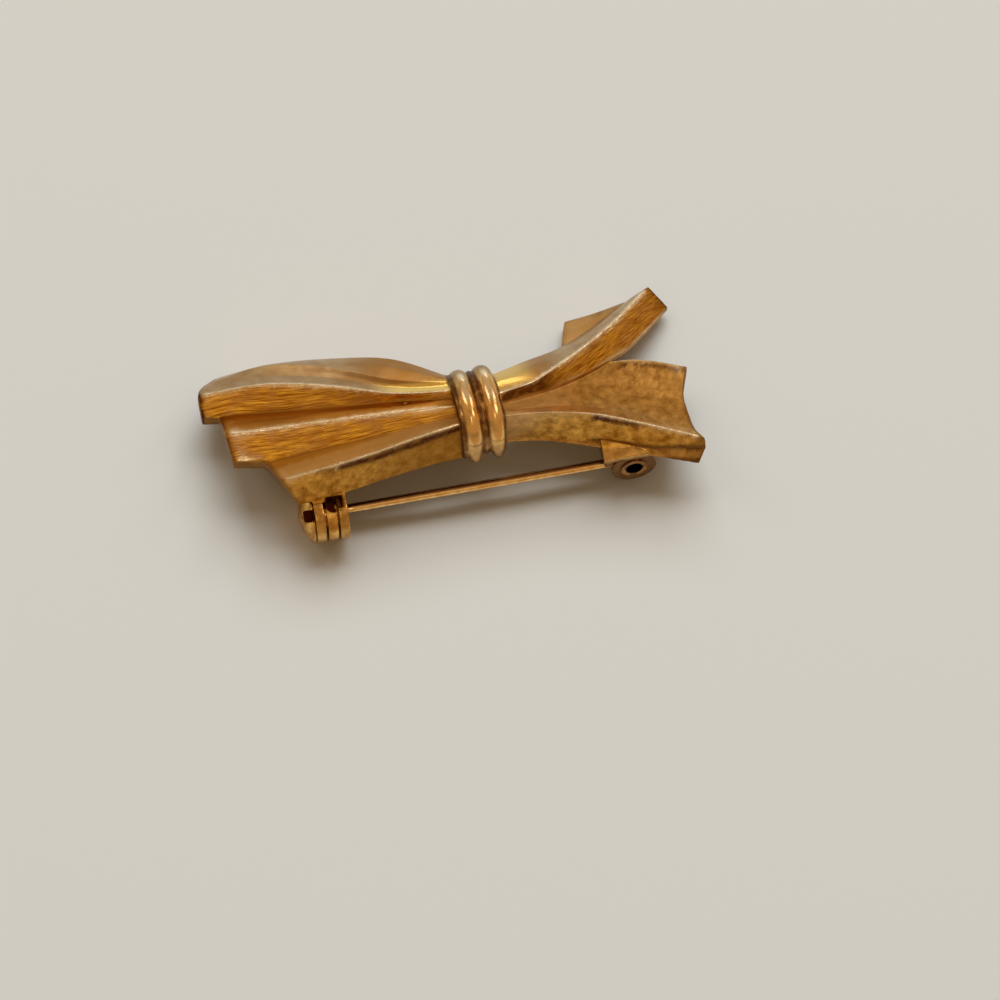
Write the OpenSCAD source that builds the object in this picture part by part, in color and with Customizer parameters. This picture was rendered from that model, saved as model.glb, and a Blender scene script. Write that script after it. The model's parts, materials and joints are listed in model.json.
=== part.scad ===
// Bow brooch with a hinged pin and a turning safety catch, lying on its back fittings and far edge.
// The brooch is built flat first: x runs along the pin, y across, z out of the front, with the flat
// back at z = 0 and the knot's middle at x = 0, y = 0. It is then tipped until it rests on the floor.

/* [Fan] */
// Length of the fan from the middle of the knot to its longest pleat
fan_reach = 23.8; // [16:0.1:34]
// Width of the fan across its widest pleats
fan_width = 14; // [10:0.1:20]
// Height of the highest pleat above the back
fan_height = 5; // [3:0.1:7]

/* [Knot] */
// Width of the knot across the bow
knot_width = 8.4; // [6.5:0.1:11]
// Height of the knot above the back
knot_height = 5.2; // [4:0.1:7]
// Thickness of each round band of the knot
band_thick = 1.56; // [1:0.02:2]
// Distance between the two bands
band_pitch = 2.07; // [1.7:0.01:2.6]

/* [Tails] */
// Length of the lower tail from the middle of the knot
lower_reach = 19.2; // [14:0.1:26]
// Width of the lower tail at its cut end
lower_width = 9.6; // [7:0.1:13]
// Height of the tails where they leave the knot
tail_height = 4.3; // [3:0.1:5.2]
// Length of the upper tail along the bow
upper_reach = 18.9; // [14:0.1:26]
// How far the upper tail swings out from the middle of the knot
upper_rise = 8.8; // [6:0.1:12]

/* [Casting] */
// Thickness of the cast metal
wall = 1.2; // [0.8:0.05:1.5]

/* [Pin] */
// Diameter of the pin wire
wire_d = 0.8; // [0.6:0.02:1]
// Length of the pin's ground point
point_length = 3.4; // [1.5:0.1:6]
// Length of the pin's thicker root, from the rivet's middle
root_length = 3.3; // [3:0.1:6]
// Distance of the pin's line from the middle of the knot
pin_offset = 5.07; // [4.2:0.01:5.6]
// Depth of the pin's line below the flat back
pin_drop = 2.68; // [2.5:0.02:3.2]

/* [Joint] */
// Distance from the knot to the joint's rivet
joint_reach = 13; // [10.5:0.1:14]
// Radius of the joint's two ears
ear_r = 2; // [1.7:0.05:2.1]
// Thickness of each ear
ear_thick = 0.42; // [0.3:0.02:0.7]
// Radius of the rivet's body
rivet_r = 0.92; // [0.8:0.01:1.05]
// Radius of the hole through the hollow rivet
rivet_hole_r = 0.72; // [0.4:0.01:0.75]
// Radius of the eye at the root of the pin
eye_r = 1.42; // [1.3:0.01:1.5]

/* [Catch] */
// Distance from the knot to the middle of the catch
catch_reach = 14.15; // [11:0.05:14.5]
// Radius of the catch's flanges
flange_r = 2.6; // [2.2:0.05:2.6]
// Thickness of the flange at the knob
outer_flange = 0.85; // [0.6:0.05:1.2]
// Thickness of the flange at the pin's side
inner_flange = 0.85; // [0.6:0.05:1.2]
// Width of the barrel between the flanges
barrel_width = 0.85; // [0.7:0.05:1.4]
// Radius of the hub that turns in the flanges
hub_r = 1.3; // [1.1:0.02:1.5]
// Height of the domed thumb knob
knob_height = 1.1; // [0.9:0.05:1.8]
// Width of the channel that takes the pin
channel_width = 1.06; // [0.96:0.02:1.3]

/* [Hidden] */

// Clearances: radial where a round piece turns, sideways along its axis
turn_gap = 0.05;
side_gap = 0.1;
barrel_gap = 0.2;
seat_gap = 0.02;
// How deep one soldered or cast part sinks into the next
sink = 0.3;

// Rows along each sheet, and steps round the knot
fan_rows = 26;
tail_rows = 22;
flap_rows = 8;
knot_steps = 26;
round_fn = 48;

// The knot's outline swells squarer than an ellipse by this power
knot_power = 0.88;

// Columns of the pleat and tail tables
REACH = 0;
ROOT = 1;
BACK = 6;

// Fan folds from the near rim to the far rim. Lengths are shares of fan_reach. The root is a share of
// the knot's width and height, and each of the four stations after it a share of fan_width and fan_height.
// Back gives how the inner side lies from the fold, in walls across and walls down.
//  reach    root            station 1      station 2      station 3      tip             back
fan_folds = [
    [0.706, [-0.420, 0.000], [-0.276, 0.00], [-0.315, 0.00], [-0.362, 0.00], [-0.396, 0.00], [ 0.85, 0]],  // near rim
    [0.769, [-0.270, 0.720], [-0.218, 0.80], [-0.265, 0.74], [-0.297, 0.68], [-0.322, 0.62], [ 0.30, 1]],  // ridge of the near wall
    [0.807, [-0.223, 0.740], [-0.141, 0.78], [-0.141, 0.68], [-0.145, 0.60], [-0.148, 0.52], [ 0, 1]],     // first valley, near side
    [0.920, [-0.202, 0.740], [-0.129, 0.78], [-0.129, 0.68], [-0.129, 0.61], [-0.121, 0.56], [ 0, 1]],     // first valley, far side
    [0.934, [-0.112, 0.830], [-0.046, 0.92], [-0.021, 0.90], [ 0.001, 0.88], [ 0.021, 0.86], [ 0, 1]],     // middle ridge
    [0.934, [-0.023, 0.800], [ 0.041, 0.83], [ 0.094, 0.77], [ 0.149, 0.70], [ 0.197, 0.64], [ 0, 1]],     // second valley, near side
    [0.998, [ 0.000, 0.800], [ 0.059, 0.83], [ 0.119, 0.76], [ 0.176, 0.68], [ 0.221, 0.60], [ 0, 1]],     // second valley, far side
    [1.000, [ 0.074, 0.860], [ 0.078, 0.98], [ 0.211, 1.00], [ 0.308, 0.99], [ 0.330, 0.86], [ 0, 1]],     // high ridge
    [0.990, [ 0.131, 0.830], [ 0.143, 0.86], [ 0.300, 0.86], [ 0.393, 0.82], [ 0.386, 0.78], [ 0, 1]],     // trough behind it
    [0.966, [ 0.177, 0.810], [ 0.201, 0.84], [ 0.388, 0.80], [ 0.500, 0.72], [ 0.446, 0.64], [ 0, 1]],     // soft far ridge
    [0.912, [ 0.250, 0.692], [ 0.409, 0.60], [ 0.500, 0.56], [ 0.549, 0.50], [ 0.521, 0.48], [-0.40, 1]],  // far shoulder
    [0.866, [ 0.420, 0.040], [ 0.486, 0.06], [ 0.571, 0.06], [ 0.614, 0.06], [ 0.586, 0.10], [-0.80, 0]]   // far rim
];

// Lower tail folds from the near rim to the far rim, in the same columns: shares of lower_reach,
// of the knot at the root, and of lower_width and tail_height after it
lower_folds = [
    [0.962, [-0.298, -0.06], [-0.333, -0.07], [-0.479, -0.12], [-0.641, -0.18], [-0.771, -0.36], [0.80, 0]],  // near rim
    [1.001, [-0.280,  0.00], [-0.313,  0.00], [-0.448,  0.00], [-0.609, -0.02], [-0.704, -0.01], [0.80, 0]],  // foot of the near wall
    [0.998, [-0.286,  0.75], [-0.292,  0.90], [-0.370,  0.77], [-0.516,  0.53], [-0.682,  0.28], [0.35, 1]],  // bright ridge
    [0.966, [-0.244,  0.75], [-0.234,  0.82], [-0.279,  0.66], [-0.409,  0.44], [-0.540,  0.19], [0, 1]],     // fall into the hollow
    [0.958, [-0.202,  0.72], [-0.177,  0.75], [-0.170,  0.56], [-0.270,  0.35], [-0.330,  0.14], [0, 1]],     // bottom of the hollow
    [0.956, [-0.143,  0.71], [-0.073,  0.71], [ 0.010,  0.49], [-0.060,  0.32], [-0.146,  0.18], [0, 1]],     // rise to the far rim
    [1.000, [-0.083,  0.70], [ 0.050,  0.66], [ 0.219,  0.47], [ 0.229,  0.43], [ 0.094,  0.31], [0, 1]]      // far rim
];

// Upper tail folds from the near edge to the far edge. The root is a share of the knot, and each station
// after it a share of upper_reach along, upper_rise across and tail_height up.
upper_folds = [
    [[-0.143, 0.750], [0.328, -0.017, 0.74], [0.561, 0.170, 0.56], [0.772, 0.409, 0.42], [1.000, 0.830, 0.28]],  // near edge
    [[-0.042, 0.846], [0.275,  0.034, 1.00], [0.497, 0.290, 0.94], [0.709, 0.602, 0.81], [0.921, 1.000, 0.65]],  // bright ridge
    [[ 0.131, 0.770], [0.270,  0.227, 0.86], [0.471, 0.409, 0.72], [0.672, 0.682, 0.63], [0.857, 0.955, 0.56]],  // trough behind it
    [[ 0.274, 0.577], [0.259,  0.398, 0.58], [0.466, 0.528, 0.49], [0.688, 0.773, 0.44], [0.810, 0.920, 0.49]]   // far edge
];

// The fold at the far side of the upper tail, in the same shares, from its start to the tail's end
flap_folds = [
    [[0.455, 0.477, 0.44], [0.635, 0.682, 0.40], [0.810, 0.898, 0.46]],  // under the upper tail
    [[0.476, 0.670, 0.35], [0.640, 0.807, 0.37], [0.810, 0.920, 0.45]],  // middle
    [[0.508, 0.870, 0.26], [0.656, 0.892, 0.33], [0.810, 0.932, 0.44]]   // far edge
];

// Where the sheets start inside the knot, from its middle
fan_root_x = -1;
tail_root_x = 1.2;

// A smooth curve through the points of a list, for t from 0 to 1
function spline(a, b, c, d, t) =
    0.5 * (2 * b + (c - a) * t + (2 * a - 5 * b + 4 * c - d) * t * t + (3 * b - a - 3 * c + d) * t * t * t);
function along(p, t) =
    let (n = len(p) - 1, i = min(floor(t * n), n - 1), b = p[i], c = p[i + 1])
    spline(i > 0 ? p[i - 1] : 2 * b - c, b, c, i < n - 1 ? p[i + 2] : 2 * c - b, t * n - i);

// The stations of one fold of a sheet that runs straight along x
function straight_fold(row, root_x, tip_x, width, height) = [
    for (i = [0:4])
        let (x = root_x + (tip_x * row[REACH] - root_x) * i / 4, s = row[ROOT + i])
        i == 0 ? [x, s[0] * knot_width, s[1] * knot_height] : [x, s[0] * width, s[1] * height]
];
// The stations of one fold of the upper tail, which runs aslant
function slant_station(s) = [s[0] * upper_reach, s[1] * upper_rise, s[2] * tail_height];
function slant_fold(row) = [
    for (i = [0:len(row) - 1])
        len(row[i]) == 2 ? [tail_root_x, row[i][0] * knot_width, row[i][1] * knot_height] : slant_station(row[i])
];

// Each span of a row, from one fold to another, is drawn across in a number of steps: as many as it has
// folds where it is pleated, and more where it is a smooth hollow
function across(row, spans) = concat(
    [row[0]],
    [for (s = spans) for (k = [1:s[2]]) along([for (c = [s[0]:s[1]]) row[c]], k / s[2])]
);
fan_spans = [[0, 7, 7], [7, 9, 4], [9, 11, 4]];
lower_spans = [[0, 2, 2], [2, 6, 9]];
upper_spans = [[0, 1, 1], [1, 3, 5]];
flap_spans = [[0, 2, 2]];

// A sheet as a grid of rows along its folds: the front, and the back a wall away
function front_grid(folds, rows, spans) = [
    for (r = [0:rows]) across([for (f = folds) along(f, r / rows)], spans)
];
function back_grid(grid, backs, spans) =
    let (b = across(backs, spans))
    [for (row = grid) [for (c = [0:len(row) - 1]) row[c] + wall * [0, b[c][0], -b[c][1]]]];
function flat_list(grid) = [for (row = grid) for (p = row) p];

// A closed sheet from its front and back grids, all in triangles
module sheet(front, back) {
    rows = len(front) - 1;
    cols = len(front[0]);
    half = (rows + 1) * cols;
    rim = concat(
        [for (c = [0:cols - 1]) c],
        [for (r = [1:rows]) r * cols + cols - 1],
        [for (c = [cols - 2:-1:0]) rows * cols + c],
        [for (r = [rows - 1:-1:1]) r * cols]
    );
    polyhedron(
        points = concat(flat_list(front), flat_list(back)),
        faces = concat(
            [
                for (r = [0:rows - 1]) for (c = [0:cols - 2])
                    let (a = r * cols + c, b = a + 1, d = a + cols, e = d + 1)
                    each [[a, d, b], [b, d, e], [a + half, b + half, d + half], [b + half, e + half, d + half]]
            ],
            [
                for (i = [0:len(rim) - 1])
                    let (p = rim[i], q = rim[(i + 1) % len(rim)])
                    each [[p, q, p + half], [q, q + half, p + half]]
            ]
        )
    );
}

// The pleated fan
fan_stations = [for (row = fan_folds) straight_fold(row, fan_root_x, -fan_reach, fan_width, fan_height)];
fan_front = front_grid(fan_stations, fan_rows, fan_spans);
fan_back = back_grid(fan_front, [for (row = fan_folds) row[BACK]], fan_spans);
module fan() {
    sheet(fan_front, fan_back);
}

// The lower tail, hollow along its face
lower_stations = [for (row = lower_folds) straight_fold(row, tail_root_x, lower_reach, lower_width, tail_height)];
lower_front = front_grid(lower_stations, tail_rows, lower_spans);
lower_back = back_grid(lower_front, [for (row = lower_folds) row[BACK]], lower_spans);
module lower_tail() {
    turned_sheet(lower_front, lower_back);
}

// A sheet whose rows run to the right has its folds taken the other way round, so that it closes outwards
function turned(grid) = [for (row = grid) [for (c = [len(row) - 1:-1:0]) row[c]]];
module turned_sheet(front, back) {
    sheet(turned(front), turned(back));
}

// The upper tail and the fold at its far side
upper_front = front_grid([for (row = upper_folds) slant_fold(row)], tail_rows, upper_spans);
flap_front = front_grid([for (row = flap_folds) slant_fold(row)], flap_rows, flap_spans);
upper_back = back_grid(upper_front, [[0, 0.55], [0, 0.9], [0, 1], [0, 1]], upper_spans);
flap_back = back_grid(flap_front, [for (f = flap_folds) [0, 1]], flap_spans);
module upper_tail() {
    turned_sheet(upper_front, upper_back);
    turned_sheet(flap_front, flap_back);
}

// The knot's outline across the bow: an arch over rounded feet, standing in from its full size by an inset
function arch_point(angle, inset, low) = [
    (knot_width / 2 - inset) * sign(cos(angle)) * pow(abs(cos(angle)), knot_power),
    low + (knot_height - inset - low) * pow(sin(angle), knot_power)
];
function arch(inset) =
    let (low = inset + foot_corner - ground_depth)
    concat(
        [for (i = [0:knot_steps]) arch_point(180 * i / knot_steps, inset, low)],
        [for (side = [-1, 1]) for (k = side < 0 ? [1:3] : [3:5])
            [side * (knot_width / 2 - inset - foot_corner), low] + foot_corner * [cos(180 + 30 * k), sin(180 + 30 * k)]]
    );

// The knot's profile along the bow, as places along x and insets: a thin collar at the fan, then two
// round bands with a thin rib in the groove between them. It leans a little to the fan at its far side,
// and its back is ground flat.
lean_angle = 2.6;
band_shift = 0.12;
foot_corner = 0.25;
ground_depth = 0.3;
collar_r = 0.22;
collar_inset = 0.36;
rib_angle_step = 14;
rib_angle_end = 80;
free_rib_angle = -74;
joined_rib_angle = -60;
function round_rib(x, r, inset, from_angle) = [
    for (a = [from_angle:rib_angle_step:rib_angle_end]) [x + r * sin(a), inset + r * (1 - cos(a))]
];
band_r = band_thick / 2;
groove_rib_r = 0.4 * (band_pitch - band_thick);
groove_rib_inset = 0.44 * band_r;
knot_profile = concat(
    round_rib(band_shift - band_pitch / 2 - band_r - collar_r * 0.6, collar_r, collar_inset, free_rib_angle),
    round_rib(band_shift - band_pitch / 2, band_r, 0, joined_rib_angle),
    round_rib(band_shift, groove_rib_r, groove_rib_inset, free_rib_angle),
    round_rib(band_shift + band_pitch / 2, band_r, 0, free_rib_angle)
);
module knot() {
    rings = [for (s = knot_profile) [for (p = arch(s[1])) [s[0], p[0], p[1]]]];
    n = len(rings[0]);
    last = (len(rings) - 1) * n;
    rotate([0, 0, lean_angle])
        polyhedron(
            points = flat_list(rings),
            faces = concat(
                [[for (i = [0:n - 1]) i], [for (i = [n - 1:-1:0]) last + i]],
                [
                    for (r = [0:len(rings) - 2]) for (i = [0:n - 1])
                        let (a = r * n + i, b = r * n + (i + 1) % n)
                        each [[a, a + n, b], [b, a + n, b + n]]
                ]
            )
        );
}

// The whole cast bow. Its sheets cross in many small facets, so they are taken together as one mesh at
// its own size.
module cast_bow() {
    resize([0, 0, 0]) {
        fan();
        knot();
        upper_tail();
        lower_tail();
    }
}

// A round bar along x, from one place to another, and the same along y
module bar_x(x0, x1, r) {
    translate([x0, 0, 0])
        rotate([0, 90, 0])
            cylinder(h = x1 - x0, r = r, $fn = round_fn);
}
module bar_y(y0, y1, r) {
    translate([0, y1, 0])
        rotate([90, 0, 0])
            cylinder(h = y1 - y0, r = r, $fn = round_fn);
}
// A block between two corners
module block(low, high) {
    translate(low)
        cube(high - low);
}
// Places things on the pin's line, at a distance along it and a drop below the back
module on_pin_line(x, drop) {
    translate([x, -pin_offset, -drop])
        children();
}

// The catch: two flanges on a base plate, with a bore for the rotor's hub and a mouth below for the pin
catch_drop = pin_drop;
catch_inner = -catch_reach + barrel_width / 2 + barrel_gap;
catch_outer = -catch_reach - barrel_width / 2 - barrel_gap;
catch_right = catch_inner + inner_flange;
catch_left = catch_outer - outer_flange;
catch_near = -pin_offset - 0.2 * flange_r;
catch_far = -pin_offset + 0.5 * flange_r;
plate_top = 0.1;
plate_bottom = 0.32;
barrel_step = 0.06;
barrel_r = flange_r - barrel_step;
top_notch_angle = 14;
top_notch_low = 0.66 * flange_r;
top_notch_left = -catch_reach - 0.25 * barrel_width;
top_notch_right = catch_inner + 0.5 * inner_flange;
// The notch at the top of the barrel and of the flange beside it
module top_notch() {
    rotate([top_notch_angle, 0, 0])
        block(
            [top_notch_left, -channel_width / 2, top_notch_low],
            [top_notch_right, channel_width / 2, flange_r + sink]
        );
}
module catch_housing() {
    difference() {
        union() {
            for (x = [[catch_left, catch_outer], [catch_inner, catch_right]]) {
                on_pin_line(0, catch_drop)
                    bar_x(x[0], x[1], flange_r);
                block([x[0], catch_near, -catch_drop], [x[1], catch_far, 0]);
            }
            block([catch_left, catch_near, -plate_bottom], [catch_right, catch_far, plate_top]);
        }
        on_pin_line(0, catch_drop) {
            bar_x(catch_left - sink, catch_right + sink, hub_r + turn_gap);
            bar_x(catch_outer, catch_inner, barrel_r + side_gap);
            block(
                [catch_left - sink, -channel_width / 2, -flange_r - sink],
                [catch_right + sink, channel_width / 2, 0]
            );
            top_notch();
        }
    }
}

// The joint: a sloping base under the lower tail with two round ears, and a rounded stop at its left end
wire_gap = 0.035;
root_swell = 0.05;
root_d = wire_d + root_swell;
ear_gap = root_d + 2 * wire_gap;
ear_outer = ear_gap / 2 + ear_thick;
slot_top = pin_drop - eye_r - side_gap;
base_behind = 2.75;
base_ahead = 2.2;
base_left = joint_reach - base_behind;
base_right = joint_reach + base_ahead;
base_drop = 1.12;
base_shoulder = 0.52;
base_front = ear_outer + 0.15;
base_crest = 0.2;
base_slope_left = 1.4;
base_slope_right = 0.4;
end_slice = 0.01;
stop_r = 0.42;
stop_drop = 0.15;
module base_end(x, slope) {
    translate([x, -pin_offset, 0])
        rotate([90, 0, 90])
            linear_extrude(end_slice)
                polygon([
                    [-base_front, -base_drop], [-base_front, -base_shoulder], [-base_front + slope, -base_crest],
                    [-base_front + base_slope_left + sink, sink], [ear_outer, sink], [ear_outer, -base_drop]
                ]);
}
module joint_base() {
    difference() {
        union() {
            for (side = [-1, 1])
                on_pin_line(joint_reach, pin_drop)
                    bar_y(side * (ear_outer + ear_gap / 2) / 2 - ear_thick / 2,
                          side * (ear_outer + ear_gap / 2) / 2 + ear_thick / 2, ear_r);
            hull() {
                base_end(base_left, base_slope_left);
                base_end(base_right, base_slope_right);
            }
            on_pin_line(base_left + stop_r, base_drop + stop_drop)
                bar_y(-base_front, ear_outer, stop_r);
        }
        on_pin_line(joint_reach, pin_drop)
            bar_y(-ear_outer - sink, ear_outer + sink, rivet_r + seat_gap);
        block(
            [joint_reach - eye_r - side_gap, -pin_offset - ear_gap / 2, -pin_drop - ear_r],
            [joint_reach + ear_r + sink, -pin_offset + ear_gap / 2, -slot_top]
        );
    }
}

// How the brooch lies by itself: on its catch and on two places of its far edge, one at the fan and one at
// the tails. It is rolled about the catch until the far edge is down, and the pitch between is halved
// again and again until both places are down at once.
sheet_points = concat(
    flat_list(fan_front), flat_list(fan_back), flat_list(lower_front), flat_list(lower_back),
    flat_list(upper_front), flat_list(upper_back), flat_list(flap_front), flat_list(flap_back)
);
fan_edge = [for (p = sheet_points) if (p[1] > knot_width / 2 && p[0] < 0) p];
tail_edge = [for (p = sheet_points) if (p[1] > knot_width / 2 && p[0] > 0) p];
catch_point = [catch_right, -pin_offset, -catch_drop];
function pitched(p, a) = [p[0] * cos(a) + p[2] * sin(a), p[1], -p[0] * sin(a) + p[2] * cos(a)];
function roll_to(p, c) = atan2(p[2] - c[2], p[1] - c[1]) + asin(flange_r / norm([p[1] - c[1], p[2] - c[2]]));
function roll_onto(edge, a) = min([for (p = edge) roll_to(pitched(p, a), pitched(catch_point, a))]);
most_pitch_angle = 8;
halvings = 14;
function settled(low, high, n) =
    let (middle = (low + high) / 2)
    n == 0 ? middle :
    roll_onto(fan_edge, middle) < roll_onto(tail_edge, middle) ? settled(middle, high, n - 1) :
    settled(low, middle, n - 1);
pitch = settled(-most_pitch_angle, most_pitch_angle, halvings);
roll = roll_onto(fan_edge, pitch);
function rolled(p) = [p[0], p[1] * cos(roll) + p[2] * sin(roll), -p[1] * sin(roll) + p[2] * cos(roll)];
function tipped(p) = rolled(pitched(p, pitch));

// The box of the tipped brooch, from the sheets and the catch, which reach its sides
reach_points = [for (p = sheet_points) tipped(p)];
catch_axis = tipped(catch_point);
left = min([for (p = reach_points) p[0]]);
right = max([for (p = reach_points) p[0]]);
near = min(min([for (p = reach_points) p[1]]), catch_axis[1] - flange_r);
far = max([for (p = reach_points) p[1]]);
floor_z = catch_axis[2] - flange_r;
module at_rest() {
    translate([-(left + right) / 2, -(near + far) / 2, -floor_z])
        rotate([-roll, 0, 0])
            rotate([0, pitch, 0])
                children();
}

module bow_casting() {
    color("goldenrod")
        at_rest() {
            cast_bow();
            catch_housing();
            joint_base();
        }
}

// The pin: an eye, a root that thickens a little towards it, a straight wire and a ground point that
// ends inside the catch
pin_tip = -catch_reach - barrel_width / 2 - outer_flange;
point_blunt = 0.12;
root_start = joint_reach - root_length;
root_end = joint_reach - rivet_r - 0.2;
module pin_stem() {
    color("gold")
        at_rest()
            difference() {
                union() {
                    on_pin_line(joint_reach, pin_drop)
                        bar_y(-wire_d / 2, wire_d / 2, eye_r);
                    on_pin_line(0, pin_drop)
                        rotate([0, 90, 0])
                            rotate_extrude($fn = round_fn)
                                polygon([
                                    [0, pin_tip], [wire_d * point_blunt, pin_tip], [wire_d / 2, pin_tip + point_length],
                                    [wire_d / 2, root_start], [root_d / 2, root_end], [0, root_end]
                                ]);
                }
                on_pin_line(joint_reach, pin_drop)
                    bar_y(-wire_d, wire_d, rivet_r + turn_gap);
            }
}

// The hollow rivet, spread over both ears
rivet_head_r = rivet_r + 0.24;
rivet_head = 0.12;
module joint_rivet() {
    color("darkgoldenrod")
        at_rest()
            on_pin_line(joint_reach, pin_drop)
                difference() {
                    union() {
                        bar_y(-ear_outer - rivet_head, ear_outer + rivet_head, rivet_r);
                        bar_y(-ear_outer - rivet_head, -ear_outer, rivet_head_r);
                        bar_y(ear_outer, ear_outer + rivet_head, rivet_head_r);
                    }
                    bar_y(-ear_outer - sink, ear_outer + sink, rivet_hole_r);
                }
}

// The catch's rotor: a hub, a barrel and a knob, cut by the channel that takes the pin. The knob has a
// narrow straight rim and a dome with a square notch for a fingernail.
knob_r = flange_r * 0.95;
knob_left = catch_left - side_gap;
knob_rim = 0.15;
dome_height = knob_height - knob_rim;
dome_r = (knob_r * knob_r + dome_height * dome_height) / (2 * dome_height);
nail_notch_depth = 0.72 * knob_height;
nail_notch_half = 0.22 * knob_r;
nail_notch_low = 0.4 * knob_r;
nail_notch_angle = 33;
module catch_rotor() {
    color("orange")
        at_rest()
            on_pin_line(0, catch_drop)
                difference() {
                    union() {
                        bar_x(knob_left, catch_right, hub_r);
                        bar_x(-catch_reach - barrel_width / 2, -catch_reach + barrel_width / 2, barrel_r);
                        intersection() {
                            translate([knob_left - knob_height + dome_r, 0, 0])
                                sphere(r = dome_r, $fn = round_fn);
                            bar_x(knob_left - knob_height - sink, knob_left, knob_r);
                        }
                    }
                    bar_x(pin_tip - sink, catch_right + sink, channel_width / 2);
                    block(
                        [pin_tip - sink, -channel_width / 2, -flange_r - sink],
                        [catch_right + sink, channel_width / 2, 0]
                    );
                    rotate([nail_notch_angle, 0, 0])
                        block(
                            [knob_left - nail_notch_depth, -nail_notch_half, nail_notch_low],
                            [knob_left, nail_notch_half, knob_r + sink]
                        );
                    top_notch();
                }
}

bow_casting();
pin_stem();
joint_rivet();
catch_rotor();
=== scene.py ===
# %% [markdown]
# A gilt bow brooch lies on a pale surface with its pin side towards the viewer. The metal parts come from
# the CAD model, which the frame loads in metres. This script dresses them: it gives the cast bow a skin
# with soft, worn edges, gives each finding its own finish, and lights the whole as plain soft daylight.

# %% Load the frame
import json
import math
import bmesh
import bpy
import numpy as np
from mathutils import Matrix, Vector, noise


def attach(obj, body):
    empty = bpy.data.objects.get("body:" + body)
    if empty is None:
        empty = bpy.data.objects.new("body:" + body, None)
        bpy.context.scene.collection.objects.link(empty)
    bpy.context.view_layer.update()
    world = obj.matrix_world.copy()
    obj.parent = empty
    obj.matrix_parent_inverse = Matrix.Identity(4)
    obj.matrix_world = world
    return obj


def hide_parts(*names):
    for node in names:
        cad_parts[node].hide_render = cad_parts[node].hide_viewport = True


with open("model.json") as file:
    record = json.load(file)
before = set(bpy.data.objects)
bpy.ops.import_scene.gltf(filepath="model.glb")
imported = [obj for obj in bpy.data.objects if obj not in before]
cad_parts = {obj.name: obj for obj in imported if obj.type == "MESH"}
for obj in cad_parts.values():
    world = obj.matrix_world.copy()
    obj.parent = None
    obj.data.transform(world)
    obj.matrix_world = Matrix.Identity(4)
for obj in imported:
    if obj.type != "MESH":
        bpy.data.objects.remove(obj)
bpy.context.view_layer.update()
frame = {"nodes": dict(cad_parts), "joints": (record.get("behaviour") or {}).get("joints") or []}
MM = 0.001

# %% [markdown]
# The brooch is designed flat and then tipped until it rests on the floor. Brushing, folds and wear follow
# the flat design, so its own axes come back first: x along the pin, y across, z out of the front. The
# joints in the record give them, because the hinge's axis is the flat y axis and the catch's is the flat
# x axis, and part.scad gives the rivet's place in the flat design.

# %% The flat design's axes
JOINT_X, PIN_Y, PIN_Z = 13.0, -5.07, -2.68

joints = {joint["name"]: joint for joint in frame["joints"]}
flat_y = -Vector(joints["pin_hinge"]["axis"]).normalized()
flat_x = Vector(joints["catch_turn"]["axis"]).normalized()
flat_z = flat_x.cross(flat_y)
flat_axes = np.array([flat_x, flat_y, flat_z])
flat_origin = np.array(joints["pin_hinge"]["pos_m"]) / MM - np.array([JOINT_X, PIN_Y, PIN_Z]) @ flat_axes


def to_flat(points):
    """Places in the flat design, in mm, of points of the row frame in metres."""
    return (np.asarray(points) / MM - flat_origin) @ flat_axes.T


def from_flat(point):
    """A place of the flat design, in mm, in the row frame in metres."""
    return (np.array(point) @ flat_axes + flat_origin) * MM


print("flat origin, mm:", flat_origin.round(3))

# %% [markdown]
# The camera looks down from almost straight above, a little from the near side and from the left. A long
# lens far away keeps the proportions of a picture taken from many times the brooch's length. Two
# directions set how it is turned: the one that runs to the right in the picture, and one that leans up.

# %% Camera
VIEW_RIGHT = Vector((0.978, -0.187, 0.0955)).normalized()
VIEW_LEAN = Vector((0.1724, 0.9747, 0.1450))
AIM = Vector((2.954, -7.946, 4.294)) * MM
PICTURE_WIDTH = 87.3 * MM
CAMERA_DISTANCE = 0.8
SENSOR_WIDTH = 36
NEAREST_SEEN = 0.01

view_back = VIEW_RIGHT.cross(VIEW_LEAN).normalized()
view_up = view_back.cross(VIEW_RIGHT)
camera_data = bpy.data.cameras.new("camera")
camera = bpy.data.objects.new("camera", camera_data)
bpy.context.scene.collection.objects.link(camera)
camera_turn = Matrix((VIEW_RIGHT, view_up, view_back)).transposed().to_4x4()
camera.matrix_world = Matrix.Translation(AIM + CAMERA_DISTANCE * view_back) @ camera_turn
camera_data.sensor_width = SENSOR_WIDTH
camera_data.lens = SENSOR_WIDTH * CAMERA_DISTANCE / PICTURE_WIDTH
camera_data.clip_start = NEAREST_SEEN
bpy.context.scene.camera = camera
print("lens, mm:", round(camera_data.lens, 1))

# %% [markdown]
# Colours are written as sRGB hex values, as a colour picker shows them, and Blender works in linear light,
# so one function turns them over. Another adds a node with its settings and links, which keeps each
# material readable as a list of its nodes.


# %% Helpers for colours and nodes
def hex_colour(text):
    """Linear colour of an sRGB hex value."""
    channels = [int(text[i : i + 2], 16) / 255 for i in (1, 3, 5)]
    return (*[c / 12.92 if c <= 0.04045 else ((c + 0.055) / 1.055) ** 2.4 for c in channels], 1)


def new_material(name):
    """An empty material of nodes."""
    material = bpy.data.materials.new(name)
    material.use_nodes = True
    material.node_tree.nodes.clear()
    return material


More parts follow.
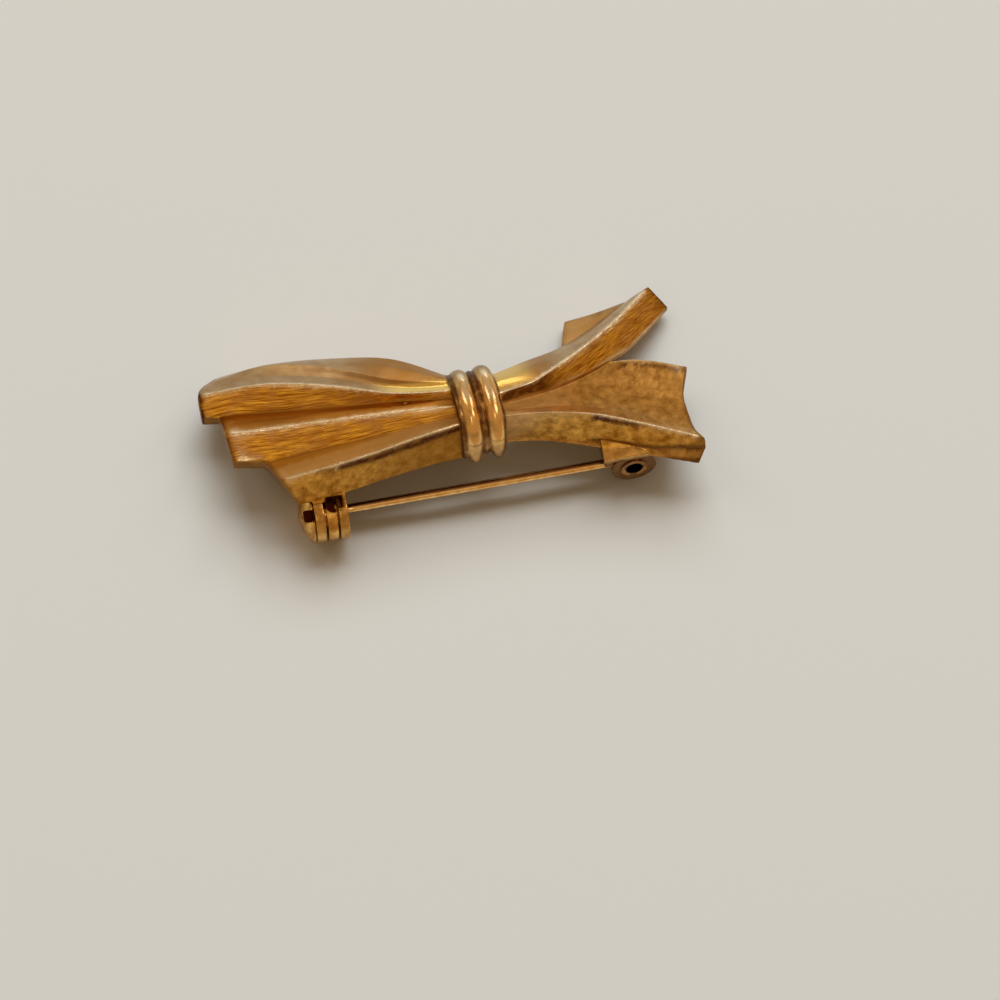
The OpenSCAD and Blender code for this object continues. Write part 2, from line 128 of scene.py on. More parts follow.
def add_node(material, kind, settings=None, inputs=None, output=0):
    """Adds a node with its settings and links, and gives back one of its outputs.

    An input, found by its name or number, is another node's output, a hex colour, or plain values.
    """
    node = material.node_tree.nodes.new("ShaderNode" + kind)
    for name, value in (settings or {}).items():
        setattr(node, name, value)
    for place, value in (inputs or {}).items():
        if isinstance(value, bpy.types.NodeSocket):
            material.node_tree.links.new(value, node.inputs[place])
        else:
            node.inputs[place].default_value = hex_colour(value) if isinstance(value, str) else value
    return node.outputs[output] if node.outputs else None


def show(obj, material):
    """Gives an object one material."""
    obj.data.materials.clear()
    obj.data.materials.append(material)


print("middle grey #808080 in linear light:", round(hex_colour("#808080")[0], 3))

# %% [markdown]
# The floor is a pale matt laminate table top. One face is enough for it, because nothing shows its edges
# or its thickness, and a high roughness keeps the brooch from being mirrored in it.

# %% Floor
FLOOR_HALF = 1.0

floor_mesh = bpy.data.meshes.new("floor")
bm = bmesh.new()
bmesh.ops.create_grid(bm, x_segments=1, y_segments=1, size=FLOOR_HALF)
bm.to_mesh(floor_mesh)
bm.free()
floor = bpy.data.objects.new("floor", floor_mesh)
bpy.context.scene.collection.objects.link(floor)
table_top = new_material("matt_laminate_table")
laminate = add_node(table_top, "BsdfPrincipled", {}, {"Base Color": "#e6e3dc", "Roughness": 0.6})
add_node(table_top, "OutputMaterial", {}, {"Surface": laminate})
show(floor, table_top)
print("floor, m:", 2 * FLOOR_HALF, "square")

# %% [markdown]
# Gold shows little but what it mirrors, which here is a dim warm room. As a light the room has to stay
# weaker than it looks in the gold, or it would fill the soft shadow. The ray's kind tells the two apart.

# %% Room
world = bpy.data.worlds.new("warm_room")
bpy.context.scene.world = world
world.use_nodes = True
world.node_tree.nodes.clear()
mirrored_room = add_node(world, "Background", {}, {"Color": "#b3966f", "Strength": 1.0})
lighting_room = add_node(world, "Background", {}, {"Color": "#b39a77", "Strength": 0.4})
lights_things = add_node(world, "LightPath", {}, {}, "Is Diffuse Ray")
room = add_node(world, "MixShader", {}, {0: lights_things, 1: mirrored_room, 2: lighting_room})
add_node(world, "OutputWorld", {}, {"Surface": room})
print("room:", len(world.node_tree.nodes), "nodes")

# %% [markdown]
# The table's light comes from one large soft lamp high on the far side, so the shadow falls softly towards
# the viewer. It stands far off, so the table is evenly lit from edge to edge. The gold doesn't mirror it,
# because it would wash out the satin slopes. Smaller lamps give the ridges and bands their highlights, and
# three of them are only mirrored and leave the table as it is.

# %% Lamps
LAMP_DISTANCE = 2.5


def softbox(name, azimuth, elevation, size, power, colour, lights_table=True, shows_in_gold=True):
    """A lamp that faces the brooch from an azimuth (0 is the far side) and an elevation, in degrees."""
    light = bpy.data.lights.new(name, "AREA")
    light.shape = "RECTANGLE"
    light.size, light.size_y = size
    light.energy = power
    light.color = hex_colour(colour)[:3]
    lamp = bpy.data.objects.new(name, light)
    a, e = math.radians(azimuth), math.radians(elevation)
    direction = Vector((math.sin(a) * math.cos(e), math.cos(a) * math.cos(e), math.sin(e)))
    lamp.location = direction * LAMP_DISTANCE
    lamp.rotation_euler = direction.to_track_quat("Z", "Y").to_euler()
    lamp.visible_diffuse = lights_table
    lamp.visible_glossy = shows_in_gold
    bpy.context.scene.collection.objects.link(lamp)


softbox("window", 10, 46, (1.7, 1.5), 58, "#eff8ff", shows_in_gold=False)
softbox("left_lamp", -46, 42, (0.8, 1.6), 6.5, "#fff4e6")
softbox("right_lamp", 56, 42, (0.7, 1.4), 5.5, "#fff8ee")
softbox("top_lamp", 95, 62, (0.7, 0.7), 6.5, "#fff4e2", lights_table=False)
softbox("near_lamp", -170, 66, (0.45, 0.45), 1.7, "#fff2dc", lights_table=False)
softbox("low_lamp", 9, 3.5, (0.6, 0.22), 0.8, "#fff4e0", lights_table=False)
bpy.context.scene.view_settings.view_transform = "Standard"
print("lamps:", sorted(light.name for light in bpy.data.lights))

# %% [markdown]
# The bow is one lost-wax casting in gilded metal. Its folds are crisp but never sharp: filing, plating and
# wear have rounded every edge by about a tenth of a millimetre. Bevelling thousands of CAD facets one by
# one would fail where the folds cross, so a copy of the CAD mesh is merged and remeshed into fine even
# voxels, which later smoothing rounds alike.

# %% Fine even skin over the casting
MERGE_DISTANCE = 0.002 * MM
VOXEL = 0.06 * MM


def baked_mesh(obj):
    """The object's mesh with its modifiers applied."""
    evaluated = obj.evaluated_get(bpy.context.evaluated_depsgraph_get())
    mesh = bpy.data.meshes.new_from_object(evaluated)
    obj.modifiers.clear()
    return mesh


cad_mesh = frame["nodes"]["bow_casting"].data.copy()
bm = bmesh.new()
bm.from_mesh(cad_mesh)
bmesh.ops.remove_doubles(bm, verts=bm.verts, dist=MERGE_DISTANCE)
bm.to_mesh(cad_mesh)
bm.free()
cast_bow = bpy.data.objects.new("cast_bow", cad_mesh)
bpy.context.scene.collection.objects.link(cast_bow)
voxels = cast_bow.modifiers.new("voxels", "REMESH")
voxels.mode = "VOXEL"
voxels.voxel_size = VOXEL
cast_bow.data = baked_mesh(cast_bow)
print("voxel skin of", len(cast_bow.data.polygons), "faces")

# %% [markdown]
# Smoothing rounds the edges. The cut ends of the fan and of the tails are worn rounder than the folds, so
# they get more of it, and the soldered findings get little, because their walls are thin. The ends are
# found from the tips of the folds in part.scad's own tables.

# %% Where the cut ends and the findings are
#            y across the bow, then x along it, in mm
FAN_TIPS = [(-5.54, -4.51, -2.07, -1.69, 0.29, 2.76, 3.09, 4.62, 5.4, 6.24, 7.29, 8.2),
            (-16.8, -18.3, -19.2, -21.9, -22.2, -22.2, -23.75, -23.8, -23.6, -23.0, -21.7, -20.6)]
LOWER_TAIL_TIPS = [(-7.4, -6.76, -6.5, -5.2, -3.2, -1.4, 0.9),
                   (18.5, 19.2, 19.2, 18.55, 18.4, 18.36, 19.2)]
UPPER_TAIL_END = 18.5
TAILS_PART_X, LOWER_TAIL_TOP, UPPER_TAIL_LOW = 10, 1.5, 3
OUT_OF_REACH = 5
FINDING_TOP, FINDING_NEAR = -0.1, -7.75
CATCH_RIGHT, JOINT_LEFT = -11.5, 9.9


def coordinates(mesh):
    """The places of a mesh's vertices."""
    numbers = np.empty(len(mesh.vertices) * 3, np.float32)
    mesh.vertices.foreach_get("co", numbers)
    return numbers.reshape(-1, 3).astype(float)


def normals(mesh):
    """The directions in which a mesh's vertices face."""
    numbers = np.empty(len(mesh.vertices) * 3, np.float32)
    mesh.vertex_normals.foreach_get("vector", numbers)
    return numbers.reshape(-1, 3).astype(float)


def along_upper_tail(x, y):
    """How far a place lies along the upper tail, which runs aslant."""
    return (x + y) / math.sqrt(2)


def from_cut_end(flat_points):
    """Distance in mm from the cut ends of the fan and of the tails."""
    x, y = flat_points[:, 0], flat_points[:, 1]
    fan_end = x - np.interp(y, *FAN_TIPS)
    lower_end = np.interp(y, *LOWER_TAIL_TIPS) - x + OUT_OF_REACH * (y > LOWER_TAIL_TOP) * (x > TAILS_PART_X)
    upper_end = UPPER_TAIL_END - along_upper_tail(x, y) + OUT_OF_REACH * (y < UPPER_TAIL_LOW)
    return np.where(x < 0, fan_end, np.minimum(lower_end, upper_end))


flat = to_flat(coordinates(cast_bow.data))
at_catch_or_joint = (flat[:, 0] < CATCH_RIGHT) | (flat[:, 0] > JOINT_LEFT)
is_finding = (flat[:, 2] < FINDING_TOP) & at_catch_or_joint & (flat[:, 1] > FINDING_NEAR)
print("vertices on the findings:", int(is_finding.sum()))

# %% [markdown]
# A vertex group holds how much of a Smooth modifier each vertex takes, so one modifier can soften the folds
# fully and the findings lightly, and a second one only the cut ends.

# %% Rounded edges
EDGE_ROUNDS = 8
END_ROUNDS = 36
EDGE_FACTOR = 0.5
FINDING_SHARE = 0.2
END_REACH = 0.9

softness = cast_bow.vertex_groups.new(name="softness")
softness.add(np.flatnonzero(~is_finding).tolist(), 1.0, "REPLACE")
softness.add(np.flatnonzero(is_finding).tolist(), FINDING_SHARE, "REPLACE")
near_end = ~is_finding & (from_cut_end(flat) < END_REACH)
cut_ends = cast_bow.vertex_groups.new(name="cut_ends")
cut_ends.add(np.flatnonzero(near_end).tolist(), 1.0, "REPLACE")
for name, rounds in (("softness", EDGE_ROUNDS), ("cut_ends", END_ROUNDS)):
    rounding = cast_bow.modifiers.new(name, "SMOOTH")
    rounding.factor = EDGE_FACTOR
    rounding.iterations = rounds
    rounding.vertex_group = name
cast_bow.data = baked_mesh(cast_bow)
print("rounded; vertices near a cut end:", int(near_end.sum()))

# %% [markdown]
# The folds were worked by hand in wax, so no face is truly flat: each swells and sinks by a hundredth of a
# millimetre or so, which is enough to break up what it mirrors. Two sizes of noise push the skin along its
# normals. The findings are bought parts and truer, so they get a quarter of it.

# %% Hand-worked unevenness
#              wave mm, height mm
UNEVENNESS = [(2.6, 0.016), (0.75, 0.008)]
FINDING_UNEVENNESS = 0.25

rest_points, rest_normals = coordinates(cast_bow.data), normals(cast_bow.data)
swell = np.zeros(len(rest_points))
for wave, height in UNEVENNESS:
    steps = rest_points / (wave * MM)
    swell += height * MM * np.array([noise.noise(Vector(step)) for step in steps])
swell *= np.where(is_finding, FINDING_UNEVENNESS, 1.0)
cast_bow.data.vertices.foreach_set("co", (rest_points + swell[:, None] * rest_normals).ravel())
print("swells and sinks by up to", round(float(np.abs(swell).max()) / MM, 4), "mm")

# %% [markdown]
# Some six hundred thousand voxel faces are more than a smooth metal sheet needs. A Decimate modifier thins
# the skin where it is flattest and keeps its folds.

# %% Thinning
MOST_TRIANGLES = 185000

thinning = cast_bow.modifiers.new("thinning", "DECIMATE")
thinning.ratio = MOST_TRIANGLES / (2 * len(cast_bow.data.polygons))
cast_bow.data = baked_mesh(cast_bow)
print("thinned to", sum(face.loop_total - 2 for face in cast_bow.data.polygons), "triangles")

# %% [markdown]
# The last traces of the CAD facets would show in a mirror finish. They are evened out: each vertex moves
# along its normal towards its neighbours, and a neighbour counts the more, the more nearly its normal
# agrees. Across a ridge the normals differ, so the ridges stay. No vertex may move further than a cap.

# %% Evening
EVENING_ROUNDS = 20
EVENING_STEP = 0.5
EVENING_ANGLE = 11.0
MOST_LIFT = 0.06 * MM
NEVER_ZERO = 1e-9

edges = np.empty(len(cast_bow.data.edges) * 2, np.int32)
cast_bow.data.edges.foreach_get("vertices", edges)
edges = edges.reshape(-1, 2)
ends = np.concatenate([edges, edges[:, ::-1]])
thinned_points = points = coordinates(cast_bow.data)
evened = to_flat(points)[:, 2] > FINDING_TOP


def gathered(values, weights):
    """Weighted sum of each vertex's neighbours' values."""
    return np.bincount(ends[:, 0], weights * values[ends[:, 1]], len(points))


for _ in range(EVENING_ROUNDS):
    cast_bow.data.vertices.foreach_set("co", points.ravel())
    cast_bow.data.update()
    outward = normals(cast_bow.data)
    agreement = (outward[ends[:, 0]] * outward[ends[:, 1]]).sum(1)
    angle = np.degrees(np.arccos(np.clip(agreement, -1, 1)))
    likeness = np.exp(-((angle / EVENING_ANGLE) ** 2))
    total = np.bincount(ends[:, 0], likeness, len(points)) + NEVER_ZERO
    middle = np.stack([gathered(points[:, axis], likeness) / total for axis in range(3)], 1)
    lift = ((middle - points) * outward).sum(1) * total / (total + 1)
    moved = points + (EVENING_STEP * evened * lift)[:, None] * outward
    points = thinned_points + np.clip(moved - thinned_points, -MOST_LIFT, MOST_LIFT)
cast_bow.data.vertices.foreach_set("co", points.ravel())
cast_bow.data.update()
cast_bow.data.polygons.foreach_set("use_smooth", [True] * len(cast_bow.data.polygons))
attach(cast_bow, "bow")
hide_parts("bow_casting")
print("evened by up to", round(float(np.abs(points - thinned_points).max()) / MM, 3), "mm")

# %% [markdown]
# One metal, but five finishes: the far slopes are smooth and satin, the folds that face the viewer are
# brushed along their length and carry painted shade, the walls and the lower tail keep the mottle of the
# casting, with a deeper painted shade on the walls, the knot is polished, and the soldered findings are
# plain.
# The lines between them are the bow's own folds, as part.scad's tables give them in the flat design.

# %% Fold lines
#                   x along the bow, then y across it, in mm
FAN_HIGH_RIDGE = [(-23.8, -18.1, -12.4, -6.7, -1.0), (4.62, 4.31, 2.95, 1.09, 0.62)]
FAN_NEAR_RIDGE = [(-18.3, -14.0, -9.65, -5.3, -1.0), (-4.51, -4.16, -3.71, -3.05, -2.27)]
UPPER_TAIL_EDGE = [(1.2, 6.2, 10.6, 14.6, 18.9), (-1.2, -0.15, 1.5, 3.6, 7.3)]
UPPER_TAIL_RIDGE = [(1.2, 5.2, 9.4, 13.4, 17.4), (-0.35, 0.3, 2.55, 5.3, 8.8)]
LOWER_TAIL_RIDGE = [(1.2, 5.7, 10.2, 14.7, 19.2), (-2.4, -2.8, -3.55, -4.95, -6.55)]
KNOT_LEAN = 0.045
KNOT_EDGE = (2.15, 2.0)
BAND_SHIFT, BAND_HALF_PITCH = 0.12, 1.035
FRONT_EDGE = (-0.12, -0.02)
FOLD_SOFTNESS = 0.12

x, y, z = to_flat(points).T
facing = normals(cast_bow.data) @ flat_axes.T


def blend_step(value, low, high):
    """0 below low, 1 above high, and a smooth rise between. Falls instead where low is above high."""
    t = np.clip((value - low) / (high - low), 0, 1)
    return t * t * (3 - 2 * t)


def above(line):
    """How far each vertex lies beyond a fold line, in mm."""
    return y - np.interp(x, *line)


def beyond(line):
    """1 on the far side of a fold line, 0 on the near side, over a soft width."""
    return blend_step(above(line), -FOLD_SOFTNESS, FOLD_SOFTNESS)


def stripe(distance, half, soft):
    """1 within half a width of a line, fading over a soft width."""
    return blend_step(np.abs(distance), half + soft, half)


knot_x = x + KNOT_LEAN * y
knot = blend_step(np.abs(knot_x), *KNOT_EDGE)
from_band = np.abs(np.abs(knot_x - BAND_SHIFT) - BAND_HALF_PITCH)
front = blend_step(z, *FRONT_EDGE)
fan = (1 - knot) * (x < 0)
tails = (1 - knot) * (x >= 0)
near_wall = fan * (1 - beyond(FAN_NEAR_RIDGE))
upper_tail = tails * beyond(UPPER_TAIL_EDGE)
lower_tail = tails * (1 - beyond(UPPER_TAIL_EDGE))
print("share of vertices: fan %.2f, tails %.2f, knot %.2f" % (fan.mean(), tails.mean(), knot.mean()))

# %% [markdown]
# Splitting the skin by finish would tear it, so each vertex gets a share of every finish as an attribute,
# which the material reads. A pleat is brushed, with painted shade, only where it faces the viewer, and no end
# face is.

# %% Shares of each finish
# Each pair is where a share begins and where it is full: a direction, or mm along the bow
TOWARDS_VIEWER = (0.05, -0.25)
TOWARDS_FRONT = (0.25, 0.5)
TAIL_BRUSHED = (5.0, 8.0)


def keep(name, values):
    """Stores one number, or one vector, for each vertex."""
    kind, field = ("FLOAT_VECTOR", "vector") if values.ndim == 2 else ("FLOAT", "value")
    attribute = cast_bow.data.attributes.new(name, kind, "POINT")
    attribute.data.foreach_set(field, values.ravel().astype(np.float32))


towards_viewer = blend_step(facing[:, 1], *TOWARDS_VIEWER)
satin_share = front * (fan * beyond(FAN_HIGH_RIDGE) + upper_tail * beyond(UPPER_TAIL_RIDGE))
fan_folds = front * fan * beyond(FAN_NEAR_RIDGE) * (1 - beyond(FAN_HIGH_RIDGE))
tail_front = front * upper_tail * (1 - beyond(UPPER_TAIL_RIDGE))
brushed_and_shaded_share = fan_folds * towards_viewer + tail_front * blend_step(x, *TAIL_BRUSHED)
keep("satin", satin_share)
# Brushed strokes, with painted shade on the faces turned to the viewer
keep("brushed_and_shaded", brushed_and_shaded_share * blend_step(facing[:, 2], *TOWARDS_FRONT))
keep("mottled", front * (near_wall + lower_tail))
keep("polished", knot * front)
keep("finding", 1 - front)
# The walls get a deeper painted shade
keep("wall", front * (near_wall + lower_tail * (1 - beyond(LOWER_TAIL_RIDGE))))
print("share of vertices: satin %.2f, brushed %.2f" % (satin_share.mean(), brushed_and_shaded_share.mean()))

# %% [markdown]
# Within a finish the colour varies. The back slopes of the pleats, the tail's far fold and the root of the
# lower tail carry a paler painted sheen where they face away from the viewer, painted shade deepens the near
# wall near the knot, the far side of the knot is painted darker as shade, and the troughs beside the knot
# carry a painted highlight.

# %% Painted sheen, shade and highlight
# Each pair is where a tint begins and where it is full, in mm
PLEAT_BACK = (1.6, 1.2)
TAIL_FOLD, TAIL_FOLD_FACING, TAIL_FOLD_LEFT = (0.8, 1.2), (0.93, 0.97), 6
PALE_ROOT = (9.5, 5.5)
PALE_SHARE, TAIL_FOLD_SHARE = 0.5, 1.6
DEEP_WALL = (-15.0, -5.0)
KNOT_FAR_SHADE = (0.6, 2.6)
FAN_TROUGH, FAN_TROUGH_HALF, FAN_TROUGH_SOFT, FAN_TROUGH_ROOT = 0.6, 0.4, 0.5, (-9.5, -6.5)
TAIL_TROUGH_ROOT, TAIL_TROUGH_SHARE = (6.0, 3.5), 0.75
NEAR_KNOT_FAN, NEAR_KNOT_TAILS = (-12.0, -6.0), (8.5, 5.0)

pleat_backs = fan_folds * (1 - towards_viewer) * blend_step(above(FAN_NEAR_RIDGE), *PLEAT_BACK)
tail_fold = blend_step(above(UPPER_TAIL_RIDGE), *TAIL_FOLD) * blend_step(facing[:, 2], *TAIL_FOLD_FACING)
tail_fold *= x > TAIL_FOLD_LEFT
pale_root = lower_tail * beyond(LOWER_TAIL_RIDGE) * blend_step(x, *PALE_ROOT)
# A paler painted sheen on faces turned away from the viewer
keep("pale", front * (pleat_backs + TAIL_FOLD_SHARE * satin_share * tail_fold + pale_root) * PALE_SHARE)
keep("shade", near_wall * blend_step(x, *DEEP_WALL))
# Painted shade on the knot's far side
keep("darker_gold", knot * blend_step(y, *KNOT_FAR_SHADE))
# A painted highlight in the troughs beside the knot
fan_trough = stripe(above(FAN_HIGH_RIDGE) - FAN_TROUGH, FAN_TROUGH_HALF, FAN_TROUGH_SOFT)
fan_trough *= fan * blend_step(x, *FAN_TROUGH_ROOT)
tail_trough = upper_tail * TAIL_TROUGH_SHARE * blend_step(x, *TAIL_TROUGH_ROOT)
keep("trough", satin_share * (fan_trough + tail_trough))
near_knot = np.where(x < 0, blend_step(x, *NEAR_KNOT_FAN), blend_step(x, *NEAR_KNOT_TAILS))
keep("near_knot", front * (1 - knot) * near_knot)
print("vertices in a bright trough:", int((fan_trough + tail_trough > 0.5).sum()))

# %% [markdown]
# Brushing runs along the folds, which fan out from the knot, so its pattern needs places that fan out too:
# how far across the fold, and how far along it. On the upper tail the strokes slant across the fold.

# %% Brushing direction
#               x along the bow, then y across it, in mm
FAN_NEAR_RIM = [(-16.8, -1.0), (-5.54, -3.53)]
FAN_FAR_RIM = [(-20.6, -1.0), (8.2, 3.53)]
FAN_MEAN_WIDTH = 11.0
STROKE_RISE = math.radians(33)
TAIL_STROKE_SHARE = 2.0

low_rim, high_rim = np.interp(x, *FAN_NEAR_RIM), np.interp(x, *FAN_FAR_RIM)
fan_across = (y - low_rim) / (high_rim - low_rim) * FAN_MEAN_WIDTH
tail_across = -x * math.sin(STROKE_RISE) + y * math.cos(STROKE_RISE)
tail_along = x * math.cos(STROKE_RISE) + y * math.sin(STROKE_RISE)
across = np.where(x < 0, fan_across, tail_across)
along = np.where(x < 0, -x, TAIL_STROKE_SHARE * tail_along)
keep("grain", np.stack([across, along, z], 1))
print("the grain runs over %.1f mm across and %.1f mm along" % (np.ptp(across), np.ptp(along)))

# %% [markdown]
# Wear and painted highlight brighten what sticks out: fingers and cloth polish the ridges, and the pale lines
# also stand in for highlights, while the hollows stay dull. How much a vertex stands above its neighbours,
# taken along its normal, says which it is. Blender's Pointiness output says much the same, but an attribute
# can be limited to chosen places before it is used.

# %% How far each vertex stands out
RIDGE_STAND = 0.008 * MM
HOLLOW = (0.25 * RIDGE_STAND, RIDGE_STAND)
RIDGE_ROUNDS = 4


def averaged(values, rounds):
    """The values averaged with the neighbours' values, a few rounds over."""
    count = np.bincount(ends[:, 0], None, len(points))
    for _ in range(rounds):
        values = 0.5 * values + 0.5 * np.bincount(ends[:, 0], values[ends[:, 1]], len(points)) / count
    return values


smooth_points = np.stack([averaged(points[:, axis], RIDGE_ROUNDS) for axis in range(3)], 1)
stand = averaged(((points - smooth_points) * normals(cast_bow.data)).sum(1), 1)
keep("hollow", blend_step(-stand, *HOLLOW))
print("raised vertices:", int((stand > RIDGE_STAND).sum()), "hollow:", int((stand < -RIDGE_STAND).sum()))

# %% [markdown]
# The ridges of the fan show in how far they stand out. Those of the tails are blunter, so near the knot
# their rubbed lines are drawn from the fold lines. The rubbed lines are partly wear and partly painted
# highlight: low, turned away or next to a cut end, nothing is rubbed. On the knot the crowns of both bands
# are, as painted highlight.

# %% Rubbed ridges and crowns, partly painted highlight
# Each pair is where rubbing begins and where it is full, in mm, or a direction
HIGH_ENOUGH, TURNED_UP, INLAND = (0.5, 0.9), (0.1, 0.35), (0.3, 0.8)
OFF_TAIL_RIDGE, OFF_FAN_RIDGE = (0.25, 0.5), (0.2, 0.4)
LOWER_LINE, UPPER_LINE, UPPER_LINE_RIGHT, LINE_TURNED_UP = (0.16, 0.06), (0.2, 0.08), 9, (0.5, 0.7)
RAISED = (0.1 * RIDGE_STAND, 0.7 * RIDGE_STAND)
TAIL_RAISED = (6.5, 9.0)
CROWN, CROWN_MIDDLE, CROWN_HALF, CROWN_SOFT = (0.42, 0.1), 0.6, 1.1, 1.0

from_lower_ridge, from_upper_ridge = np.abs(above(LOWER_TAIL_RIDGE)), np.abs(above(UPPER_TAIL_RIDGE))
off_ridge = np.maximum(upper_tail * blend_step(from_upper_ridge, *OFF_TAIL_RIDGE),
                       fan * blend_step(above(FAN_HIGH_RIDGE), *OFF_FAN_RIDGE))
tail_line = np.maximum(blend_step(from_lower_ridge, *LOWER_LINE) * lower_tail,
                       blend_step(from_upper_ridge, *UPPER_LINE) * upper_tail * (x < UPPER_LINE_RIGHT))
raised = blend_step(stand, *RAISED) * np.where(tails > 0.5, blend_step(x, *TAIL_RAISED), 1)
ridges = np.maximum(raised * (1 - off_ridge), tail_line * blend_step(facing[:, 2], *LINE_TURNED_UP))
ridges *= blend_step(from_cut_end(to_flat(points)), *INLAND)
ridges *= blend_step(z, *HIGH_ENOUGH) * blend_step(facing[:, 2], *TURNED_UP)
crowns = blend_step(from_band, *CROWN) * stripe(y - CROWN_MIDDLE, CROWN_HALF, CROWN_SOFT)
wear_and_highlight_share = np.where(knot > 0.5, crowns * knot, ridges)
keep("wear_and_highlight", wear_and_highlight_share)
print("rubbed vertices:", int((wear_and_highlight_share > 0.5).sum()))

# %% [markdown]
# Painted shade darkens the cut ends of the folds, most of all the two tips that stick out furthest, and draws
# thin dark lines in the cracks: under the fan's near ridge, at the foot of the lower tail's wall, just inside
# its far rim and beside its ridge.

# %% Painted shade at the cut ends and in the cracks
# Each pair is where a dark place begins and where it is full, in mm
CUT_END, FAN_TIP, FAN_TIP_NEAR = (0.5, 0.1), (-23.3, -23.6), 2.5
UPPER_TIP, UPPER_END_FACE = (16.8, 18.3), (18.25, 18.45)
LOWER_TIP, LOWER_TIP_SLANT = (20.3, 21.3), 0.35
LOWER_TAIL_FAR_RIM = [(10.2, 14.7, 19.2), (2.1, 2.2, 0.9)]
LOWER_TAIL_FOOT = [(5.7, 10.2, 14.7, 19.2), (-3.0, -4.3, -5.85, -6.76)]
FAR_LINE_INSET, FAR_LINE_LEFT = 0.4, 13.2
FOOT_LEFT, FOOT_FAR, FOOT_TOP = 9.5, -3.5, 0.35
WALL_LINE, WALL_LINE_INSET = (-16.0, -12.0), 0.14
RIDGE_LINE_MIDDLE, RIDGE_LINE_HALF, RIDGE_LINE_SOFT, RIDGE_LINE_INSET = 11.6, 1.6, 1.0, 0.1
# How dark each is, and half the width of a line with its soft edge
END_DARK, UPPER_DARK, LOWER_DARK, LINE_DARK = 0.6, 0.45, 0.5, 0.8
FOOT_WIDTH, FAR_WIDTH, WALL_WIDTH, RIDGE_WIDTH = (0.04, 0.08), (0.1, 0.15), (0.05, 0.08), (0.05, 0.06)

at_upper_tip = blend_step(along_upper_tail(x, y), *UPPER_TIP)
on_upper_end = blend_step(along_upper_tail(x, y), *UPPER_END_FACE)
# Painted shade at the cut ends
dark_ends = np.maximum.reduce([
    END_DARK * (1 - knot) * front * blend_step(from_cut_end(to_flat(points)), *CUT_END),
    blend_step(x, *FAN_TIP) * (y > FAN_TIP_NEAR),
    UPPER_DARK * upper_tail * (at_upper_tip + on_upper_end),
    LOWER_DARK * lower_tail * blend_step(x - LOWER_TIP_SLANT * y, *LOWER_TIP),
])
at_foot = (x > FOOT_LEFT) * (y < FOOT_FAR) * (z < FOOT_TOP)
at_far_rim = x > FAR_LINE_LEFT
beside_ridge = stripe(x - RIDGE_LINE_MIDDLE, RIDGE_LINE_HALF, RIDGE_LINE_SOFT)
# Painted shade in the cracks
dark_lines = np.maximum.reduce([
    LINE_DARK * lower_tail * at_foot * stripe(above(LOWER_TAIL_FOOT), *FOOT_WIDTH),
    LINE_DARK * lower_tail * at_far_rim * stripe(above(LOWER_TAIL_FAR_RIM) + FAR_LINE_INSET, *FAR_WIDTH),
    near_wall * blend_step(x, *WALL_LINE) * stripe(above(FAN_NEAR_RIDGE) + WALL_LINE_INSET, *WALL_WIDTH),
    lower_tail * beside_ridge * stripe(above(LOWER_TAIL_RIDGE) + RIDGE_LINE_INSET, *RIDGE_WIDTH),
])
print("dark vertices at the ends:", int((dark_ends > 0.5).sum()), "in cracks:", int((dark_lines > 0.5).sum()))

# %% [markdown]
# Beside the knot painted shade darkens its groove and its feet and the roots of the upper tail and of the
# pleats, and a thin dark line across the feet is a painted reflection. Painted shade also darkens the
# underside of the joint's base and the notch in the catch's inner flange, which is cut to the turn that
# part.scad gives it.

# %% Painted shade at the knot, the joint and the catch
# Each pair is where a dark place begins and where it is full, in mm
GROOVE, FEET, FEET_FAR, FOOT_LINE = (0.5, 0.8), (2.3, 1.2), -3.2, 2.15
UPPER_ROOT, PLEAT_ROOT = (8.5, 5.5), (-4.5, -2.0)
JOINT_EDGE, JOINT_UNDER = (9.6, 10.0), (-0.85, -1.0)
TOP_NOTCH_TURN = math.radians(14)
TOP_NOTCH_EDGE, TOP_NOTCH_LOW = (0.62, 0.5), 1.6
TOP_NOTCH_LEFT, TOP_NOTCH_RIGHT, TOP_NOTCH_TOP = -14.6, -12.95, 0.2
# How dark each is, and half the width of the line with its soft edge
FOOT_LINE_DARK, FEET_DARK, ROOT_DARK, PLEAT_DARK, UNDER_DARK = 0.6, 0.45, 0.85, 0.35, 0.8
FOOT_LINE_WIDTH = (0.04, 0.07)

# Painted shade beside the knot, and a painted reflection line across its feet
dark_knot = np.maximum.reduce([
    FOOT_LINE_DARK * knot * (y < FEET_FAR) * stripe(z - FOOT_LINE, *FOOT_LINE_WIDTH),
    FEET_DARK * knot * (y < FEET_FAR) * blend_step(z, *FEET),
    ROOT_DARK * knot * blend_step(from_band, *GROOVE),
    ROOT_DARK * upper_tail * (1 - beyond(UPPER_TAIL_RIDGE)) * blend_step(x, *UPPER_ROOT),
    PLEAT_DARK * fan_folds * blend_step(x, *PLEAT_ROOT),
])
# Painted shade in the catch's notch and under the joint's base
catch_y, catch_z = y - PIN_Y, z - PIN_Z
notch_side = catch_y * math.cos(TOP_NOTCH_TURN) + catch_z * math.sin(TOP_NOTCH_TURN)
notch_up = catch_z * math.cos(TOP_NOTCH_TURN) - catch_y * math.sin(TOP_NOTCH_TURN)
in_top_notch = blend_step(np.abs(notch_side), *TOP_NOTCH_EDGE) * (notch_up > TOP_NOTCH_LOW)
in_top_notch *= (x > TOP_NOTCH_LEFT) * (x < TOP_NOTCH_RIGHT) * (z < TOP_NOTCH_TOP)
under_joint = UNDER_DARK * blend_step(x, *JOINT_EDGE) * blend_step(z, *JOINT_UNDER)
dark = np.maximum.reduce([dark_ends, dark_lines, dark_knot, in_top_notch, under_joint])
# All these dark places are painted shade
keep("painted_shade", dark)
print("darkened vertices:", int((dark > 0.5).sum()))
